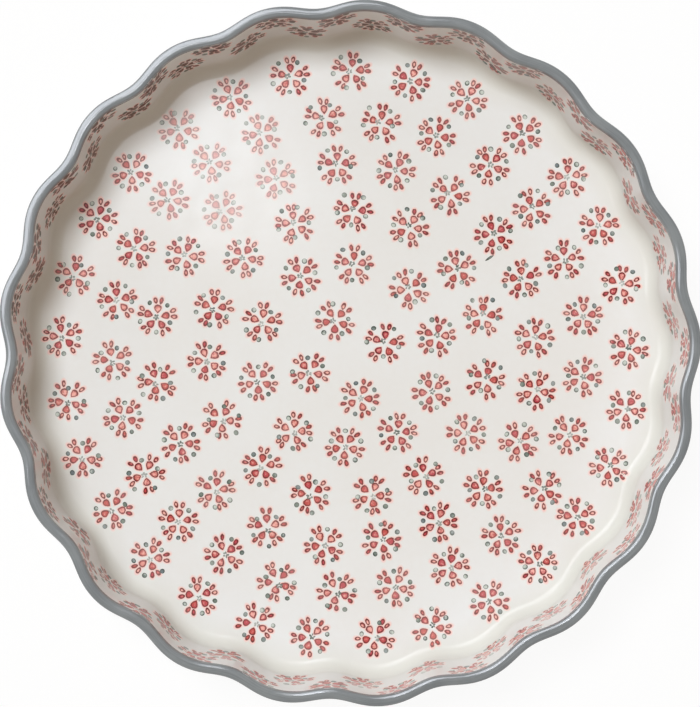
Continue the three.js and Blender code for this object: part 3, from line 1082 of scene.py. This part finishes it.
class DISH_OT_cream_coats(bpy.types.Operator):
    """Coats the inside, the outside and the recess under the floor with cream glaze"""

    bl_idname = "dish.cream_coats"
    bl_label = "Cream Glaze"

    def execute(self, context):
        section, _, look = settings(context)
        faces = {"inside": section.inside(), "outside": section.outside(), "underside": section.underside()}
        for side, face in faces.items():
            loop = coat(trim(face, GLAZE_SEAM / 2), section.form.glaze)
            piece = turned(f"cream_{side}", section, loop)
            finish_piece(piece, once("fired_cream", cream_glaze, look), "cream_glaze", f"{side}_glaze")
        return {"FINISHED"}


class DISH_OT_grey_rim(bpy.types.Operator):
    """Bands the rim with grey glaze, which rolls up a little along its edges"""

    bl_idname = "dish.grey_rim"
    bl_label = "Grey Rim"

    ROLL_RISE = 0.35 * MM
    ROLL_FALL = 1.6 * MM

    def execute(self, context):
        section, _, look = settings(context)
        form = section.form
        face = trim(section.rim(), GLAZE_SEAM / 2)
        ways = ways_along(face)
        heights = [form.band_build * self.roll(min(way, ways[-1] - way)) for way in ways]
        raised = [sink([spot], -height)[0] for spot, height in zip(face, heights)]
        loop = [*raised, *sink(face, form.glaze)[::-1]]
        piece = turned("grey_rim", section, loop)
        finish_piece(piece, once("fired_grey", grey_glaze, look), "grey_glaze", "rim_glaze")
        return {"FINISHED"}

    def roll(self, way):
        """Share of the full build-up at a distance from the glaze's edge."""
        return smooth(way / self.ROLL_RISE) * (1 - smooth((way - self.ROLL_RISE) / self.ROLL_FALL))


def ink_pieces(look, pieces):
    red, green = pieces
    inks = (
        (red, "red_ink", RED_LINE, (
            look.red_edge, look.red_fill, look.red_other, look.red_pale, look.red_heavy_and_shaded, look.red_halo,
        )),
        (green, "green_ink", GREEN_LINE, (
            look.green_edge, look.green_fill, look.green_other, look.green_pale, look.green_heavy_and_shaded,
            look.green_halo,
        )),
    )
    for piece, name, outline_width, colours in inks:
        finish_piece(piece, once(name, underglaze, name, look, outline_width, *colours), "cream_glaze")


class DISH_OT_floor_rosettes(bpy.types.Operator):
    """Stamps the floor with rings of rosettes, each with a petal pointing outwards"""

    bl_idname = "dish.floor_rosettes"
    bl_label = "Floor Rosettes"

    DASH_INK = 0.9

    def execute(self, context):
        section, pattern, look = settings(context)
        chance = random.Random(pattern.seed)
        rings = zip(
            pattern.ring_count, pattern.ring_radius, pattern.ring_start,
            pattern.ring_drift, pattern.ring_drift_from, pattern.ring_sway, pattern.ring_twist,
        )
        stamps = []
        for count, radius, start, drift, drift_from, sway, twist in rings:
            for k in range(count):
                bearing = start + math.tau * k / count
                stray = chance.gauss(0, pattern.stray_along) / radius
                bearing += drift * math.cos(bearing - drift_from) + stray
                reach = radius + sway * math.cos(bearing - pattern.ring_sway_side)
                reach += chance.gauss(0, pattern.stray_across)
                turn = twist + chance.gauss(0, pattern.stray_twist)
                stamps.append(FloorStamp(section, reach, bearing, turn))
        strays = [self.stray_dash(section, pattern)]
        ink_pieces(look, print_rosettes(stamps, pattern, chance, "floor", strays))
        return {"FINISHED"}

    def stray_dash(self, section, pattern):
        """The one dash that the brush left beside the rosettes, with the stamp that lays it."""
        stamp = FloorStamp(section, pattern.dash_reach, pattern.dash_bearing, pattern.dash_turn)
        return stamp, Mark(
            u=0, v=0, turn=0, length=pattern.dash_length, width=pattern.dash_width, point=0.0, pool=(0, 0),
            bleed=0.0, ink=self.DASH_INK, fill=1.0, lift=pattern.lift,
        )


class DISH_OT_wall_rosettes(bpy.types.Operator):
    """Stamps the wall with two staggered rows of rosettes, the upper one running under the grey rim"""

    bl_idname = "dish.wall_rosettes"
    bl_label = "Wall Rosettes"

    def execute(self, context):
        section, pattern, look = settings(context)
        chance = random.Random(pattern.seed + 1)
        radius = section.fillet_top.x
        stamps = []
        upper = (pattern.upper_row, pattern.upper_start)
        lower = (pattern.lower_row, pattern.lower_start)
        for way, start in (upper, lower):
            for k in range(pattern.wall_count):
                bearing = start + math.tau * k / pattern.wall_count
                bearing += pattern.wall_drift * math.cos(bearing - pattern.wall_drift_from)
                bearing += chance.gauss(0, pattern.stray_along) / radius
                height = way + chance.gauss(0, pattern.stray_across)
                stamps.append(WallStamp(section, height, bearing, chance.uniform(0, math.tau)))
        ink_pieces(look, print_rosettes(stamps, pattern, chance, "wall"))
        return {"FINISHED"}


class DISH_OT_studio(bpy.types.Operator):
    """Sets the camera above the dish, with a pale floor, a soft key lamp and light all round"""

    bl_idname = "dish.studio"
    bl_label = "Studio"

    FLOOR_SIZE = 20.0
    FLOOR_ROUGHNESS = 0.9

    def execute(self, context):
        scene = context.scene
        studio = scene.dish_studio
        scene.view_settings.view_transform = "Standard"
        self.add_camera(scene, studio)
        self.add_floor(studio)
        self.add_world(scene, studio)
        day, weak, gloss = studio.lamp_colour, studio.fill_colour, studio.gloss_colour
        key = self.add_lamp("key_lamp", studio.key_place, studio.key_size, studio.key_power, day)
        window = self.add_lamp("window", studio.window_place, studio.window_size, studio.window_power, day)
        counter = self.add_lamp(
            "counter_lamp", studio.counter_place, studio.counter_size, studio.counter_power, weak
        )
        softbox = self.add_lamp(
            "softbox", studio.softbox_place, studio.softbox_size[0], studio.softbox_power, gloss
        )
        self.add_lamp(
            "overhead_lamp", studio.overhead_place, studio.overhead_size, studio.overhead_power, gloss
        )
        for lamp in (key, window, counter):
            lamp.visible_glossy = False
        softbox.visible_diffuse = False
        softbox.data.shape = "RECTANGLE"
        softbox.data.size_y = studio.softbox_size[1]
        return {"FINISHED"}

    def add_camera(self, scene, studio):
        data = bpy.data.cameras.new("camera")
        data.lens = studio.lens
        camera = bpy.data.objects.new("camera", data)
        scene.collection.objects.link(camera)
        stand = Vector(studio.camera_place)
        look = (Vector(studio.camera_aim) - stand).normalized()
        top = heading(math.pi / 2 - studio.camera_roll)
        right = look.cross(top.to_3d()).normalized()
        axes = Matrix((right, right.cross(look), -look)).transposed()
        camera.matrix_world = Matrix.Translation(stand) @ axes.to_4x4()
        scene.camera = camera

    def shown_share(self, tree, share):
        """The share for what the camera sees, straight or in gloss or glass, and 0 for the rest."""
        path = tree.nodes.new("ShaderNodeLightPath")
        shown = path.outputs["Is Camera Ray"]
        for ray in ("Is Glossy Ray", "Is Transmission Ray"):
            either = tree.nodes.new("ShaderNodeMath")
            either.operation = "MAXIMUM"
            tree.links.new(shown, either.inputs[0])
            tree.links.new(path.outputs[ray], either.inputs[1])
            shown = either.outputs[0]
        part = tree.nodes.new("ShaderNodeMath")
        part.operation = "MULTIPLY"
        part.inputs[1].default_value = share
        tree.links.new(shown, part.inputs[0])
        return part.outputs[0]

    def show_white(self, tree, shader, white, output, share):
        """Mixes a white shader into a surface or a world, for what the camera sees of it."""
        mix = tree.nodes.new("ShaderNodeMixShader")
        tree.links.new(self.shown_share(tree, share), mix.inputs["Fac"])
        tree.links.new(shader, mix.inputs[1])
        tree.links.new(white, mix.inputs[2])
        tree.links.new(mix.outputs["Shader"], output.inputs["Surface"])

    def add_floor(self, studio):
        half = self.FLOOR_SIZE / 2
        corners = [(-half, -half, 0), (half, -half, 0), (half, half, 0), (-half, half, 0)]
        mesh = bpy.data.meshes.new("studio_floor")
        mesh.from_pydata(corners, [], [(0, 1, 2, 3)])
        floor = add_piece("studio_floor", mesh)
        material = bpy.data.materials.new("studio_floor")
        material.use_nodes = True
        tree = material.node_tree
        shader = tree.nodes["Principled BSDF"]
        shader.inputs["Base Color"].default_value = (*studio.backdrop, 1)
        shader.inputs["Roughness"].default_value = self.FLOOR_ROUGHNESS
        white = tree.nodes.new("ShaderNodeEmission")
        self.show_white(
            tree, shader.outputs["BSDF"], white.outputs["Emission"], tree.nodes["Material Output"],
            studio.backdrop_white,
        )
        mesh.materials.append(material)

    def add_world(self, scene, studio):
        world = bpy.data.worlds.new("studio")
        world.use_nodes = True
        tree = world.node_tree
        fill = tree.nodes["Background"]
        fill.inputs["Color"].default_value = (*studio.fill_colour, 1)
        fill.inputs["Strength"].default_value = studio.fill_strength
        white = tree.nodes.new("ShaderNodeBackground")
        white.inputs["Color"].default_value = (1, 1, 1, 1)
        self.show_white(
            tree, fill.outputs["Background"], white.outputs["Background"], tree.nodes["World Output"], 1.0
        )
        scene.world = world

    def add_lamp(self, name, place, size, power, colour):
        """A round lamp that faces the dish."""
        data = bpy.data.lights.new(name, "AREA")
        data.shape = "DISK"
        data.size = size
        data.energy = power
        data.color = colour
        lamp = bpy.data.objects.new(name, data)
        lamp.location = place
        lamp.rotation_euler = (-Vector(place)).to_track_quat("-Z", "Y").to_euler()
        bpy.context.scene.collection.objects.link(lamp)
        return lamp


class DISH_PT_panel(bpy.types.Panel):
    """Lists what the dish is made of"""

    bl_idname = "DISH_PT_panel"
    bl_label = "Quiche Dish"
    bl_space_type = "VIEW_3D"
    bl_region_type = "UI"
    bl_category = "Quiche Dish"

    def draw(self, context):
        column = self.layout.column()
        for operator in OPERATORS:
            column.operator(operator.bl_idname)
        for group in (getattr(context.scene, name) for name in GROUPS):
            box = self.layout.box()
            for key in group.__annotations__:
                box.prop(group, key)


OPERATORS = (
    DISH_OT_clay_body, DISH_OT_cream_coats, DISH_OT_grey_rim,
    DISH_OT_floor_rosettes, DISH_OT_wall_rosettes, DISH_OT_studio,
)
GROUPS = {
    "dish_form": DishForm, "stamp_pattern": StampPattern, "glaze_finish": GlazeFinish, "dish_studio": Studio,
}


def register():
    for cls in (*GROUPS.values(), *OPERATORS, DISH_PT_panel):
        bpy.utils.register_class(cls)
    for name, group in GROUPS.items():
        setattr(bpy.types.Scene, name, PointerProperty(type=group))


def unregister():
    for name in GROUPS:
        delattr(bpy.types.Scene, name)
    for cls in (DISH_PT_panel, *reversed(OPERATORS), *reversed(GROUPS.values())):
        bpy.utils.unregister_class(cls)


def main():
    register()
    bpy.ops.dish.clay_body()
    bpy.ops.dish.cream_coats()
    bpy.ops.dish.grey_rim()
    bpy.ops.dish.floor_rosettes()
    bpy.ops.dish.wall_rosettes()
    bpy.ops.dish.studio()


if __name__ == "__main__":
    main()
